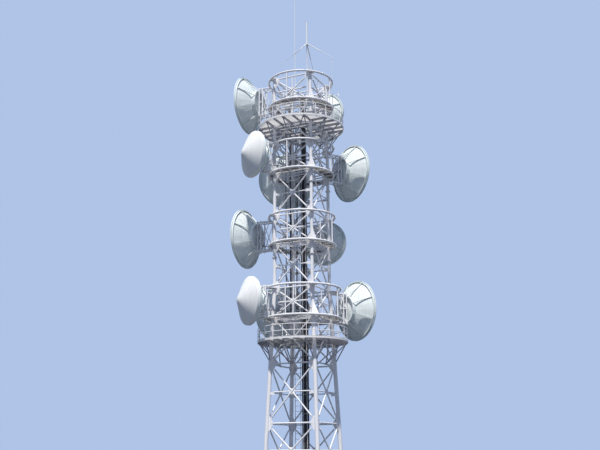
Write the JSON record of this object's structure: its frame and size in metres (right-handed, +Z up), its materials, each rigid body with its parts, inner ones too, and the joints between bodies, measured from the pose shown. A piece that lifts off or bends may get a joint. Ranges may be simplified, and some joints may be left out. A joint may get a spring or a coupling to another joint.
{
  "type": "microwave relay tower",
  "caption": "Free-standing four-legged steel tube relay tower with ring galleries, railed round platforms, parabolic dish antennas and whip antennas.",
  "frame": {"origin": "on the tower's axis, in the plane of the undersides of the four base plates", "axes": "+Z up along the tower's axis; X and Y run square to the faces, with a leg in each quadrant"},
  "size_m": [8.7598, 9.1981, 36.5],
  "materials": {
    "painted_steel": "satin white paint",
    "deck_plate": "weathered pale plate",
    "grating": "weathered open bar grating",
    "dish_paint": "satin grey-green paint",
    "radome": "matt white laminate",
    "cable_jacket": "matt black jacket",
    "antenna_metal": "weathered",
    "galvanised_steel": "galvanised"
  },
  "bodies": {
    "root": {"leg_front_left": "painted_steel", "leg_front_right": "painted_steel", "leg_back_right": "painted_steel", "leg_back_left": "painted_steel", "bracing_front": "painted_steel", "bracing_right": "painted_steel", "bracing_back": "painted_steel", "bracing_left": "painted_steel", "ring_frame_1": "painted_steel", "ring_frame_2": "painted_steel", "ring_frame_3": "painted_steel", "ring_frame_4": "painted_steel", "gallery_floor_1": "grating", "gallery_floor_2": "grating", "gallery_floor_3": "grating", "gallery_floor_4": "grating", "lower_platform_frame": "painted_steel", "upper_platform_frame": "painted_steel", "lower_deck": "deck_plate", "upper_deck": "deck_plate", "lower_handrail": "painted_steel", "upper_handrail": "painted_steel", "ladder": "galvanised_steel", "cable_tray": "galvanised_steel", "waveguides": "cable_jacket", "dish_mounts_1": "painted_steel", "dish_mounts_2": "painted_steel", "dish_mounts_3": "painted_steel", "dish_mounts_4": "painted_steel", "dish_1": "dish_paint", "dish_2": "dish_paint", "dish_3": "dish_paint", "dish_4": "dish_paint", "dish_5": "dish_paint", "dish_6": "dish_paint", "dish_7": "dish_paint", "dish_8": "dish_paint", "dish_9": "dish_paint", "dish_10": "dish_paint", "flat_covers": "radome", "cone_radomes": "radome", "ground_plane_antenna": "antenna_metal", "long_whip": "antenna_metal", "short_whip": "antenna_metal"}
  },
  "joints": []
}
